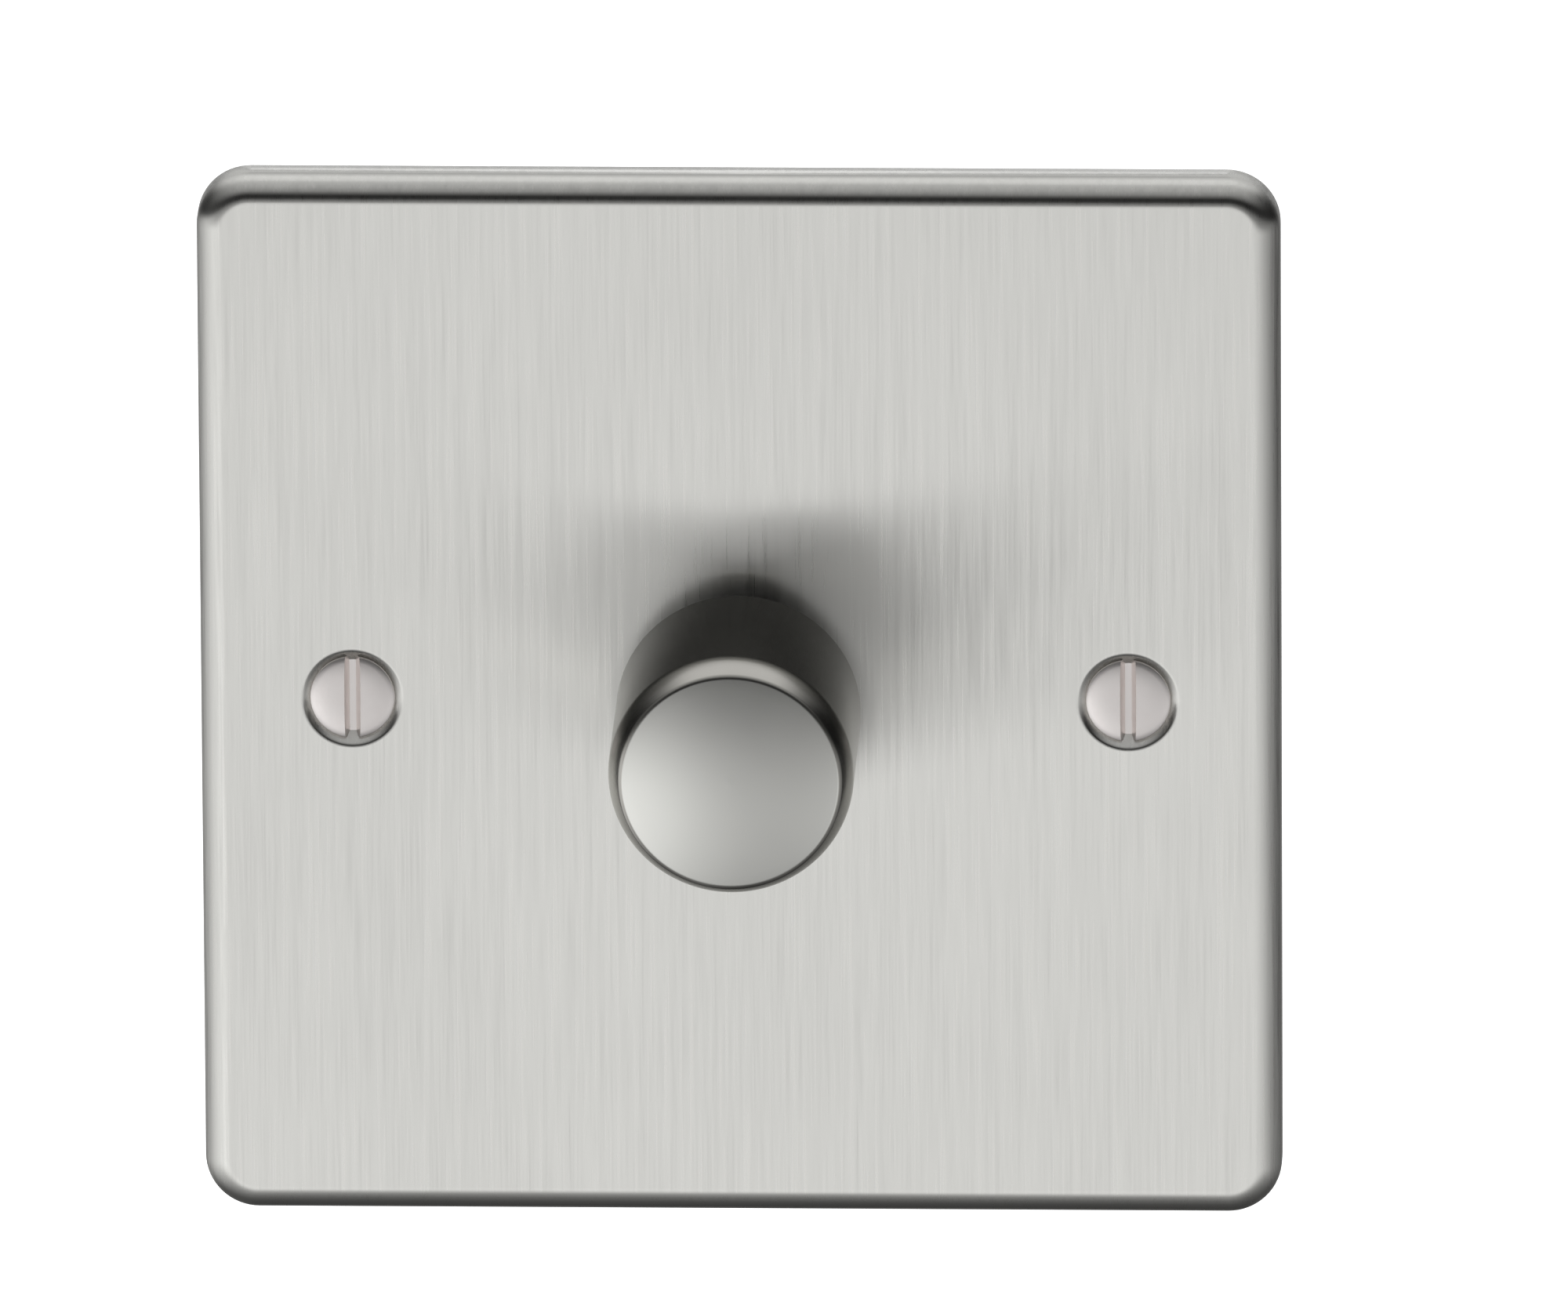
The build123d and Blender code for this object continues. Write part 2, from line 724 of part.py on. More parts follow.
def switch_plunger():
    """The plunger that the spindle pushes, with a flange that stops it turning."""
    top = plunger_top()
    under = flange_under()
    width = switch_size - 2 * switch_wall - 2 * run_gap
    plunger = rod(plunger_boss, top - plunger_boss_height, top)
    plunger += block(width, plunger_width, under, top - plunger_boss_height, corner=plunger_corner)
    return plunger + rod(plunger_pin, under - plunger_pin_height, under)


def contact_bridge():
    """The moving contact strip under the plunger's flange."""
    under = flange_under()
    length = switch_size - 2 * switch_wall - 4 * run_gap
    strip = block(length, bridge_width, under - bridge_thickness, under, corner=plunger_corner)
    hole = spring_diameter + spring_wire + run_gap
    return strip - rod(min(hole, bridge_width - run_gap), under - bridge_thickness, under)


def fixed_contacts():
    """The two fixed contact posts, with tails that leave through the switch's floor."""
    top = flange_under() - bridge_thickness - knob_travel - contact_gap
    tail = case_floor + tail_gap
    posts = [block(contact_width, contact_height, tail, top, (x, 0)) for x in contact_places()]
    return posts[0] + posts[1]


def return_spring():
    """The coil spring that brings the plunger and the knob back."""
    low = switch_back + switch_floor + spring_wire / 2 + seat_gap
    high = flange_under() - spring_wire / 2 - seat_gap
    pitch = (high - low) / spring_turns
    path = Pos(0, 0, low) * Helix(pitch, high - low, spring_diameter / 2)
    section = Plane(path @ 0, z_dir=path % 0) * Circle(spring_wire / 2)
    return sweep(section, path=path, is_frenet=True)


def control_board():
    """The circuit board, with a window for the push switch and slots for the terminals' pins."""
    board = block(2 * (case_inner_x - board_slip), 2 * (case_inner_y - board_slip), board_back, board_front)
    window = switch_size + 2 * board_window_slip
    board -= block(window, window, board_back, board_front)
    for x in terminal_places:
        slot = (pin_width + 2 * case_slip, bar_thickness + 2 * case_slip)
        board -= block(slot[0], slot[1], board_back, board_front, (x, leg_centre()))
    return board


def leg_centre():
    """The middle of a terminal bar's leg, above the terminal housing."""
    return terminal_top + bar_tail - bar_thickness / 2


def terminal_housing(x):
    """One moulded terminal: a well for the clamp, a screw pocket and a funnel for the wire."""
    body = block(terminal_pitch, terminal_length, module_back, board_back,
                 (x, case_bottom + terminal_length / 2))
    place = (x, terminal_axis)
    body -= block(terminal_well_width, terminal_well_length, well_ceiling, board_back, place)
    body -= rod(terminal_head + 2 * run_gap, head_outside, well_ceiling, place)
    body -= rod(terminal_lip_hole, module_back, head_outside, place)
    wall = terminal_screw_inset - terminal_well_length / 2
    funnel = turned(
        (0, -wall), (wire_hole / 2, -wall), (wire_hole / 2, -wire_funnel_depth),
        (wire_funnel / 2, 0), (0, 0),
    )
    body -= Pos(x, case_bottom, wire_axis) * Rot(90, 0, 0) * funnel
    slot_length = terminal_top - terminal_axis
    return body - block(bar_width, slot_length, bar_back, bar_front, (x, terminal_axis + slot_length / 2))


def terminal_bar(x):
    """The fixed bar that the screw's tip bears on, with a leg down to the board and a pin."""
    start = terminal_axis - terminal_well_length / 2 + run_gap
    end = leg_centre() + bar_thickness / 2
    bar = block(bar_width, end - start, bar_back, bar_front, (x, (start + end) / 2))
    bar += block(bar_width, bar_thickness, bar_back, board_back, (x, leg_centre()))
    return bar + block(pin_width, bar_thickness, board_back, board_front + pin_proud, (x, leg_centre()))


def terminal_screw(x):
    """The captive terminal screw, its tip on the bar."""
    head_back = screw_shoulder - terminal_head_height
    screw = rod(terminal_thread, screw_shoulder, screw_end) + rod(terminal_head, head_back, screw_shoulder)
    slot = block(terminal_head_slot, terminal_head, head_back, head_back + terminal_head_slot_depth)
    return Pos(x, terminal_axis, 0) * (screw - slot)


def terminal_clamp(x):
    """The clamp that the screw draws back: a square loop with a threaded end, shown open."""
    width = terminal_well_width - 2 * run_gap
    length = terminal_well_length - 2 * run_gap
    loop = block(width, length, clamp_nut_front - clamp_nut, clamp_floor_front)
    loop -= block(width - 2 * clamp_wall, length, clamp_nut_front, clamp_floor_front - clamp_floor)
    loop -= rod(terminal_thread + 2 * clamp_slip, clamp_nut_front - clamp_nut, clamp_nut_front)
    return Pos(x, terminal_axis, 0) * loop


def triac_bottom():
    """The lower end of the triac's body, beside the potentiometer or above it."""
    edge = triac_x + triac_width / 2
    reach = pot_diameter / 2 + triac_gap
    return max(triac_low, math.sqrt(max(reach**2 - edge**2, 0)))


def triac_hole():
    """The centre of the hole in the triac's tab."""
    return triac_x, triac_bottom() + triac_body + triac_tab / 2


def triac():
    """The power switch: a moulded body on a metal tab, with three bent leads to the board."""
    seat = heatsink_back - triac_pad
    bottom = triac_bottom()
    body = block(triac_width, triac_body, seat - triac_thickness, seat, (triac_x, bottom + triac_body / 2))
    tab_y = triac_hole()[1]
    body += block(triac_width, triac_tab, seat - triac_tab_thickness, seat, (triac_x, tab_y))
    body -= rod(triac_screw_diameter + 2 * run_gap, seat - triac_tab_thickness, seat, triac_hole())
    lead_z = seat - triac_thickness / 2
    for i in (-1, 0, 1):
        x = triac_x + i * triac_lead_pitch
        body += block(triac_lead, triac_lead_reach, lead_z - triac_lead / 2, lead_z + triac_lead / 2,
                      (x, bottom - triac_lead_reach / 2))
        body += block(triac_lead, triac_lead, board_front, lead_z + triac_lead / 2,
                      (x, bottom - triac_lead_reach + triac_lead / 2))
    return body


def triac_insulator():
    """The thin insulating pad between the triac and the heat sink."""
    seat = heatsink_back - triac_pad
    length = triac_body + triac_tab
    pad = block(triac_width, length, seat, heatsink_back, (triac_x, triac_bottom() + length / 2))
    return pad - rod(triac_screw_diameter + 2 * run_gap, seat, heatsink_back, triac_hole())


def triac_screw():
    """The screw that clamps the triac to the heat sink."""
    seat = heatsink_back - triac_pad - triac_tab_thickness
    screw = rod(triac_screw_diameter, seat, sheet_back - clip_gap, triac_hole())
    return screw + rod(triac_screw_head, seat - triac_head_height, seat, triac_hole())


def lying(shape, height, at=(0, 0)):
    """Turns a shape drawn along z to lie along y, its middle at that height and place."""
    return Pos(at[0], at[1], height) * Rot(90, 0, 0) * shape


def fuse():
    """The glass fuse with a metal cap at each end."""
    half = fuse_length / 2
    body = rod(fuse_glass, -half + fuse_cap, half - fuse_cap)
    body += rod(fuse_diameter, -half, -half + fuse_cap) + rod(fuse_diameter, half - fuse_cap, half)
    return lying(body, board_front + fuse_height, (fuse_x, fuse_y))


def fuse_clips():
    """The two sprung clips that hold the fuse's caps above the board."""
    outer = fuse_diameter + 2 * fuse_clip_sheet
    half = fuse_length / 2
    axis_z = board_front + fuse_height
    clips = []
    for end in (-1, 1):
        place = (fuse_x, fuse_y + end * (half - fuse_cap / 2))
        cradle = lying(tube(outer, fuse_diameter, -fuse_cap / 2, fuse_cap / 2), axis_z, place)
        opening = block(outer, fuse_cap, axis_z + fuse_diameter / 4, axis_z + outer, place)
        foot = block(outer / 2, fuse_cap, board_front, axis_z - outer / 2 + fuse_clip_sheet / 2, place)
        clips.append(cradle - opening + foot)
    return clips[0] + clips[1]


def choke_core():
    """The ring core of the suppression choke, behind the board."""
    core = tube(choke_outer, choke_inner, -choke_height / 2, choke_height / 2)
    core = fillet(core.edges().filter_by(GeomType.CIRCLE), choke_corner)
    return Pos(choke_x, choke_y, choke_level()) * core


def choke_level():
    """The middle height of the choke."""
    return board_back - choke_wire - choke_slip - choke_height / 2


def choke_winding():
    """The choke's turns, each a square loop of enamelled wire round the ring core."""
    inner, outer = choke_inner / 2, choke_outer / 2
    middle = (inner + outer) / 2
    width = outer - inner + 2 * choke_slip
    height = choke_height + 2 * choke_slip
    turns = []
    for i in range(choke_turns):
        loop = Box(width + 2 * choke_wire, choke_wire, height + 2 * choke_wire)
        loop -= Box(width, choke_wire, height)
        angle = 360 * (i + 0.5) / choke_turns
        turns.append(Pos(choke_x, choke_y, choke_level()) * Rot(0, 0, angle) * Pos(middle, 0, 0) * loop)
    return Compound(turns)


def film_capacitor():
    """The boxed suppression capacitor behind the board."""
    box = block(capacitor_width, capacitor_height, case_floor + capacitor_floor_gap, board_back,
                (capacitor_x, capacitor_y))
    return fillet(box.edges().filter_by(Axis.Z), capacitor_corner)


def axial(diameter, length, span, wire, rise):
    """A component with its body along x and a wire bent down to the board at each end."""
    body = Cylinder(diameter / 2, length, rotation=(0, 90, 0))
    body += Cylinder(wire / 2, span, rotation=(0, 90, 0))
    for side in (-1, 1):
        body += Pos(side * span / 2, 0, -rise / 2) * Cylinder(wire / 2, rise)
        body += Pos(side * span / 2, 0, 0) * Sphere(wire / 2)
    return body


def resistors():
    """The resistors in front of the board, one above another."""
    one = axial(resistor_diameter, resistor_length, resistor_span, resistor_wire, resistor_rise)
    return Compound([Pos(resistor_x, y, board_front + resistor_rise) * one for y in resistor_rows])


def diac():
    """The small glass trigger diode in front of the board."""
    rise = diac_diameter / 2 + resistor_wire / 2
    return Pos(diac_x, diac_y, board_front + rise) * axial(diac_diameter, diac_length, diac_span,
                                                           resistor_wire, rise)


def save(name, shape):
    """Stands a piece up, its front along -Y, and writes it under its name."""
    export_step(Rot(90, 0, 0) * shape, f"parts/{name}.step")


def main():
    os.makedirs("parts", exist_ok=True)
    left, right = screw_places
    pieces = {
        "faceplate": faceplate(),
        "fixing_screw_left": fixing_screw(left),
        "fixing_screw_right": fixing_screw(right),
        "screw_retainer_left": screw_retainer(left),
        "screw_retainer_right": screw_retainer(right),
        "backing_frame": backing_frame(),
        "earth_block": earth_block(),
        "earth_screw": earth_screw(),
        "heat_sink": heat_sink(),
        "case_screw_left": case_screw(-1),
        "case_screw_right": case_screw(1),
        "module_case": module_case(),
        "threaded_bush": threaded_bush(),
        "fixing_nut": fixing_nut(),
        "lock_washer": lock_washer(),
        "knob_shell": knob_shell(),
        "knob_core": knob_core(),
        "core_band": core_band(),
        "spindle": spindle(),
        "spindle_clip": spindle_clip(),
        "pot_housing": pot_housing(),
        "track_disc": track_disc(),
        "carbon_track": carbon_track(),
        "wiper_rotor": wiper_rotor(),
        "wiper_contact": wiper_contact(),
        "switch_housing": switch_housing(),
        "switch_plunger": switch_plunger(),
        "contact_bridge": contact_bridge(),
        "fixed_contacts": fixed_contacts(),
        "return_spring": return_spring(),
        "control_board": control_board(),
        "triac": triac(),
        "triac_insulator": triac_insulator(),
        "triac_screw": triac_screw(),
        "fuse": fuse(),
        "fuse_clips": fuse_clips(),
        "choke_core": choke_core(),
        "choke_winding": choke_winding(),
        "film_capacitor": film_capacitor(),
        "resistors": resistors(),
        "diac": diac(),
    }
    for number, x in enumerate(terminal_places, start=1):
        pieces[f"terminal_{number}_housing"] = terminal_housing(x)
        pieces[f"terminal_{number}_bar"] = terminal_bar(x)
        pieces[f"terminal_{number}_screw"] = terminal_screw(x)
        pieces[f"terminal_{number}_clamp"] = terminal_clamp(x)
    for name, shape in pieces.items():
        save(name, shape)


main()
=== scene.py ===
"""One-gang rotary dimmer switch: the looks.

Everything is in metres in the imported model's frame: the wall's surface is y = 0, the plate and the
knob look along -y, the module sits behind at +y, and z is up. Places come from the frame's boxes.
Outlines of turned pieces are in millimetres, as radii and heights, counted from the wall towards -y.
"""
import bpy
import bmesh
import json
import math
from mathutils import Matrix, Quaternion, Vector


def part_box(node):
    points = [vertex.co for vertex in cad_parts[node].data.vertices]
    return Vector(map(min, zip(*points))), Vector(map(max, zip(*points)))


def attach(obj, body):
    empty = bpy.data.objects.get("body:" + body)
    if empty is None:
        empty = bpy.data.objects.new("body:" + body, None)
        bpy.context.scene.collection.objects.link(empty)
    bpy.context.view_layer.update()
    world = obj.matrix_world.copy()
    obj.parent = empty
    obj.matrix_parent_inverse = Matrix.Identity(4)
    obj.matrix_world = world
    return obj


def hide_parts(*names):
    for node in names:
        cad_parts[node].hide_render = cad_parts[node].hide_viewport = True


MM = 0.001

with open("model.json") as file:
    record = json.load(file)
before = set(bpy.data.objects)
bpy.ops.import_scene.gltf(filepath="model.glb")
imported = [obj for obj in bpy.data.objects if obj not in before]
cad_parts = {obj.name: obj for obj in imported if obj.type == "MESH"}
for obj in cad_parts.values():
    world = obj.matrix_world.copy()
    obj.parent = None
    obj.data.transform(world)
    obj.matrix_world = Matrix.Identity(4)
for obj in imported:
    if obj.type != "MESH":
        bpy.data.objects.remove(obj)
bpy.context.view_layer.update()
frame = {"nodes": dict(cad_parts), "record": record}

# Camera: the photograph's frame, its scale on the plate's face and where the plate's middle lies
PHOTO_WIDTH = 2000
PHOTO_HEIGHT = 1675
PIXELS_PER_MM = 16.42
PLATE_MIDDLE_PIXEL = (944, 893)
CAMERA_DISTANCE = 3.2
CAMERA_ELEVATION = 17.0
CAMERA_AZIMUTH = 2.1
CAMERA_ROLL = -0.33
SENSOR_WIDTH = 36.0

# The room's level by roll angle about the x axis, in degrees: 0 is level in front, 90 overhead
ROOM_BY_ROLL = (
    (-180, 0.45), (-125, 0.06), (-84, 0.09), (-60, 0.16), (-45, 0.3), (-36, 0.52), (-29, 0.88), (-22, 1.14),
    (-18, 1.1), (-14, 0.85), (-11, 0.5), (-8, 0.3), (-4, 0.2), (0, 0.13), (5, 0.06), (10, 0.02), (23, 0.02),
    (31, 0.14), (45, 0.4), (63, 0.58), (87, 0.7), (100, 0.95), (120, 1.0), (145, 0.6), (163, 0.44),
    (180, 0.45),
)
# What multiplies it low in the room, from its left, -1, to its right, 1
ROOM_BY_SIDE = (
    (-1, 0.9), (-0.45, 1.3), (-0.2, 1.6), (-0.1, 0.84), (0, 0.6), (0.1, 0.62), (0.2, 0.86), (0.35, 1.0),
    (0.7, 0.62), (1, 0.5),
)
# Its ends: the level of each from the front to the back of the room, where they take over, and how
# much of their level is left above the horizon
ROOM_LEFT = (1.0, 0.0)
ROOM_RIGHT = (0.32, 0.0)
ROOM_END = (0.42, 0.88)
ROOM_END_ABOVE = 0.1
ROOM_HORIZON = 0.1  # half the height of the soft change from low to high
ROOM_BEHIND = (-0.3, 0.5)
ROOM_MIDDLE = (-0.5, 0.5)  # where the left end passes into the right
BACKDROP = (0.9, 0.99)  # how straight behind the object its metal shows the white backdrop

# Stage
FLOOR_DROP = 0.07  # floor below the plate's lower edge
FLOOR_SIZE = 12.0

# Finishes; lengths in millimetres
WORN_REACH = 0.08  # pointiness past a flat face's 0.5 at which an edge is fully rubbed
STEADY = 0.002  # keeps a tangent from vanishing where the surface is level
TRIAC_TAB = 6.3  # bare tab over the moulding
TRIAC_LEAD = 1.8  # bare leads under it
FUSE_CAP = 5.4  # length of each end cap

# Face plate, in millimetres
PLATE_BEND = 2.0
PLATE_CORNER = 4.2
PLATE_SHEET = 1.2
BUSH_HOLE = 5.3  # radius
SINK_MOUTH = 3.8  # radius
SINK_HOLE = 1.95  # radius
SINK_LAND = 0.3
EDGE_BREAK = 0.12  # rounding of cut edges
SUPPORT = 0.15  # narrow flat band that keeps the flat face's shading flat

# Knob, in millimetres: arcs from its side to its face's dome, each a radius and the tilt it ends at
KNOB_ARCS = ((2.4, 20), (8.0, 31), (0.4, 60), (0.7, 84))
KNOB_WALL = 1.0
KNOB_FRONT = 1.6
KNOB_RIM = 0.25
KNOB_FACE_REACH = 0.1  # satin finish past the dome, onto the rounding

# Screws, in millimetres
HEAD_ROUND = 0.15
SLOT_WIDTH = 1.25  # at the crown
SLOT_FLOOR = 0.5
SLOT_DEPTH = 0.9
SLOT_REACH = 7.0  # well past the head's edge
STUD = 3.5
STUD_PITCH = 0.6
STUD_START = 0.35  # height where the thread begins, behind the retaining washer
NECK = 2.8
HEAD_DOME = 0.12
HEAD_SINK = 0.02  # crown behind the plate's face
HEAD_SIDE = 0.38  # straight part of the head's edge
THREAD_DEPTH = 0.54  # for each millimetre of pitch

# Steps of the meshes: round each turned piece, along each arc and for each turn of a thread
KNOB_STEPS = 160
HOLE_STEPS = 96
SCREW_STEPS = 48
CORNER_STEPS = 16
BEND_STEPS = 24
ARC_STEPS = 10
CROWN_STEPS = 10
RIM_STEPS = 6
THREAD_ROWS = 8
SHARP_ANGLE = 28  # in degrees, from which an edge stays sharp

FIXING_SCREWS = ("fixing_screw_left", "fixing_screw_right")


def set_input(node, **values):
    """Sets a node's inputs by name, with underscores for spaces."""
    for name, value in values.items():
        node.inputs[name.replace("_", " ")].default_value = value


class Tree:
    """A node tree under construction: nodes are added and linked by short calls."""

    def __init__(self, tree):
        self.tree = tree

    def node(self, kind, **settings):
        made = self.tree.nodes.new(kind)
        for name, value in settings.items():
            setattr(made, name, value)
        return made

    def link(self, source, target):
        self.tree.links.new(source, target)

    def feed(self, value, socket):
        """Links a socket's value, or sets a plain number."""
        if isinstance(value, (int, float)):
            socket.default_value = value
        else:
            self.link(value, socket)

    def math(self, operation, first, second=0.0):
        made = self.node("ShaderNodeMath", operation=operation)
        self.feed(first, made.inputs[0])
        self.feed(second, made.inputs[1])
        return made.outputs["Value"]

    def spread(self, value, low, high, source=(0.0, 1.0), kind="LINEAR"):
        """Maps a value from one range to another, clamped."""
        made = self.node("ShaderNodeMapRange", interpolation_type=kind)
        made.inputs["From Min"].default_value, made.inputs["From Max"].default_value = source
        made.inputs["To Min"].default_value, made.inputs["To Max"].default_value = low, high
        self.link(value, made.inputs["Value"])
        return made.outputs["Result"]

    def ramp(self, value, stops, kind="LINEAR"):
        """Looks a value from 0 to 1 up in a list of (position, colour) stops."""
        made = self.node("ShaderNodeValToRGB")
        made.color_ramp.interpolation = kind
        elements = made.color_ramp.elements
        for i, (position, colour) in enumerate(stops):
            element = elements[i] if i < 2 else elements.new(position)
            element.position = position
            element.color = (*colour, 1)
        self.link(value, made.inputs["Fac"])
        return made.outputs["Color"]

    def mix(self, value, first, second):
        """A colour between two, each a colour or a socket, by a value from 0 to 1."""
        made = self.node("ShaderNodeMix", data_type="RGBA")
        for source, socket in ((first, made.inputs[6]), (second, made.inputs[7])):
            if isinstance(source, tuple):
                socket.default_value = (*source, 1)
            else:
                self.link(source, socket)
        self.feed(value, made.inputs[0])
        return made.outputs[2]


class Shader(Tree):
    """A material under construction."""

    def __init__(self, name, **values):
        self.material = bpy.data.materials.new(name)
        self.material.use_nodes = True
        super().__init__(self.material.node_tree)
        self.surface = self.tree.nodes["Principled BSDF"]
        set_input(self.surface, **values)

    def place(self, scale):
        """Object coordinates in millimetres, stretched for a texture."""
        coordinates = self.node("ShaderNodeTexCoord")
        mapping = self.node("ShaderNodeMapping")
        set_input(mapping, Scale=Vector(scale) / MM)
        self.link(coordinates.outputs["Object"], mapping.inputs["Vector"])
        return mapping.outputs["Vector"]

    def along(self, axis):
        """The place along one axis, in metres."""
        parts = self.node("ShaderNodeSeparateXYZ")
        self.link(self.node("ShaderNodeTexCoord").outputs["Object"], parts.inputs["Vector"])
        return parts.outputs[axis]

    def noise(self, scale, detail=2.0, roughness=0.5):
        """Noise whose features are 1 / scale mm across, with one scale or one for each axis."""
        steps = scale if isinstance(scale, tuple) else (scale, scale, scale)
        made = self.node("ShaderNodeTexNoise")
        set_input(made, Scale=1.0, Detail=detail, Roughness=roughness)
        self.link(self.place(steps), made.inputs["Vector"])
        return made.outputs["Fac"]

    def speckle(self, scale, share):
        """Scattered grains, 1 where a cell's random value is under the share."""
        cells = self.node("ShaderNodeTexVoronoi")
        set_input(cells, Scale=1.0)
        self.link(self.place((scale, scale, scale)), cells.inputs["Vector"])
        parts = self.node("ShaderNodeSeparateColor")
        self.link(cells.outputs["Color"], parts.inputs["Color"])
        return self.math("LESS_THAN", parts.outputs["Red"], share)

    def blend(self, first, second, share):
        """A weighted mean of two values."""
        return self.math("ADD", self.math("MULTIPLY", first, 1 - share), self.math("MULTIPLY", second, share))

    def colour(self, source):
        self.link(source, self.surface.inputs["Base Color"])

    def rough(self, value, low, high):
        self.link(self.spread(value, low, high), self.surface.inputs["Roughness"])

    def bump(self, value, height):
        made = self.node("ShaderNodeBump")
        set_input(made, Strength=1.0, Distance=height * MM)
        self.link(value, made.inputs["Height"])
        self.link(made.outputs["Normal"], self.surface.inputs["Normal"])

    def rubbed(self):
        """1 on worn outer edges, 0 on flat stretches, broken up by noise."""
        pointed = self.node("ShaderNodeNewGeometry").outputs["Pointiness"]
        worn = self.spread(pointed, 0, 1, (0.5, 0.5 + WORN_REACH))
        return self.math("MULTIPLY", worn, self.noise(1.5, 3.0))

    def across_grain(self):
        """Points the surface's tangent level, at right angles to an upright grain."""
        normal = self.node("ShaderNodeNewGeometry").outputs["Normal"]
        cross = self.node("ShaderNodeVectorMath", operation="CROSS_PRODUCT")
        cross.inputs[0].default_value = (0, 0, 1)
        self.link(normal, cross.inputs[1])
        steady = self.node("ShaderNodeVectorMath", operation="ADD")
        steady.inputs[1].default_value = (STEADY, 0, 0)
        self.link(cross.outputs["Vector"], steady.inputs[0])
        self.link(steady.outputs["Vector"], self.surface.inputs["Tangent"])


def brushed_plate():
    """Satin stainless steel with a fine upright grain, which smears reflections sideways."""
    made = Shader("brushed_plate", Metallic=1.0, Anisotropic=1.0)
    fine = made.noise((9.0, 3.0, 0.12), 3.0, 0.6)
    broad = made.noise((1.6, 1.0, 0.03))
    cloudy = made.noise((0.05, 0.05, 0.04))
    lines = made.blend(fine, broad, 0.4)
    tone = made.blend(lines, cloudy, 0.35)
    made.colour(made.mix(tone, (0.62, 0.617, 0.592), (0.765, 0.762, 0.732)))
    made.rough(made.spread(lines, 0, 1, (0.2, 0.8)), 0.2, 0.42)
    made.bump(lines, 0.0006)
    made.across_grain()
    return made.material


def knob_side_with_painted_shade():
    """Polished steel with faint turning marks round the side, its base colour darkened below the face's as
    painted shade.
    """
    made = Shader("knob_side_with_painted_shade", Metallic=1.0)
    # The darker base colour is painted shade for the side's dark look; the noise between its two tones is
    # turning marks.
    made.colour(made.mix(made.noise(0.3), (0.44, 0.43, 0.40), (0.50, 0.49, 0.46)))
    made.rough(made.noise((0.4, 14.0, 0.4)), 0.2, 0.27)
    return made.material


def knob_face():
    """Satin steel, blasted finely and evenly."""
    made = Shader("knob_face", Metallic=1.0)
    grain = made.noise(14.0)
    cloudy = made.noise(0.15)
    made.colour(made.mix(made.blend(cloudy, grain, 0.3), (0.575, 0.575, 0.55), (0.65, 0.65, 0.62)))
    made.rough(cloudy, 0.22, 0.27)
    made.bump(grain, 0.0008)
    return made.material


def metal(name, dark, light, low=0.25, high=0.4, scale=0.8, fine=6.0, **values):
    """Plain metal with cloudy colour and roughness and a fine tooth."""
    made = Shader(name, Metallic=1.0, **values)
    cloudy = made.noise(scale, 3.0)
    tooth = made.noise(fine)
    made.colour(made.mix(cloudy, dark, light))
    made.rough(made.blend(cloudy, tooth, 0.5), low, high)
    made.bump(tooth, 0.002)
    return made.material


def moulding(name, dark, light, low=0.4, high=0.55, **values):
    """Moulded plastic with a spark-eroded texture, a little paler where its edges are rubbed."""
    made = Shader(name, **values)
    grain = made.noise(5.0, 3.0, 0.6)
    worn = tuple(min(1.0, 1.6 * part + 0.01) for part in light)
    made.colour(made.mix(made.rubbed(), made.mix(made.noise(0.15), dark, light), worn))
    made.rough(grain, low, high)
    made.bump(grain, 0.012)
    return made.material


def laminate():
    """Paper-based circuit laminate: brown, with pale fibres and a slight gloss."""
    made = Shader("board_laminate")
    fibres = made.noise((3.0, 3.0, 0.5), 4.0)
    flecks = made.math("MULTIPLY", made.speckle(4.0, 0.12), 0.35)
    base = made.mix(fibres, (0.20, 0.11, 0.035), (0.36, 0.22, 0.09))
    made.colour(made.mix(flecks, base, (0.50, 0.36, 0.18)))
    made.rough(fibres, 0.3, 0.45)
    made.bump(fibres, 0.006)
    return made.material


def ring_core():
    """Iron powder painted yellow, its grains just showing."""
    made = Shader("iron_powder")
    grains = made.math("MULTIPLY", made.speckle(3.5, 0.2), 0.4)
    cloudy = made.noise(0.6, 3.0)
    paint = made.mix(cloudy, (0.50, 0.38, 0.06), (0.66, 0.52, 0.11))
    made.colour(made.mix(grains, paint, (0.30, 0.22, 0.06)))
    made.rough(cloudy, 0.45, 0.65)
    made.bump(made.noise(3.0, 3.0), 0.03)
    return made.material


def winding_wire():
    """Copper wire under a clear red-brown enamel."""
    made = Shader("enamelled_copper", Metallic=0.85, Coat_Weight=0.8, Coat_Roughness=0.08)
    cloudy = made.noise(1.2, 3.0)
    made.colour(made.mix(cloudy, (0.38, 0.10, 0.03), (0.56, 0.20, 0.07)))
    made.rough(cloudy, 0.22, 0.34)
    return made.material


def triac_finish():
    """Black moulding below, tinned copper on the tab above and on the leads below."""
    made = Shader("component_black")
    low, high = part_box("triac")
    up = made.along("Z")
    tab = made.math("GREATER_THAN", up, high.z - TRIAC_TAB * MM)
    lead = made.math("LESS_THAN", up, low.z + TRIAC_LEAD * MM)
    bare = made.math("MAXIMUM", tab, lead)
    grain = made.noise(5.0, 3.0)
    made.colour(made.mix(bare, made.mix(grain, (0.016, 0.016, 0.017), (0.03, 0.03, 0.03)),
                         made.mix(grain, (0.56, 0.55, 0.53), (0.68, 0.67, 0.65))))
    made.link(bare, made.surface.inputs["Metallic"])
    made.rough(grain, 0.32, 0.5)
    made.bump(grain, 0.006)
    return made.material


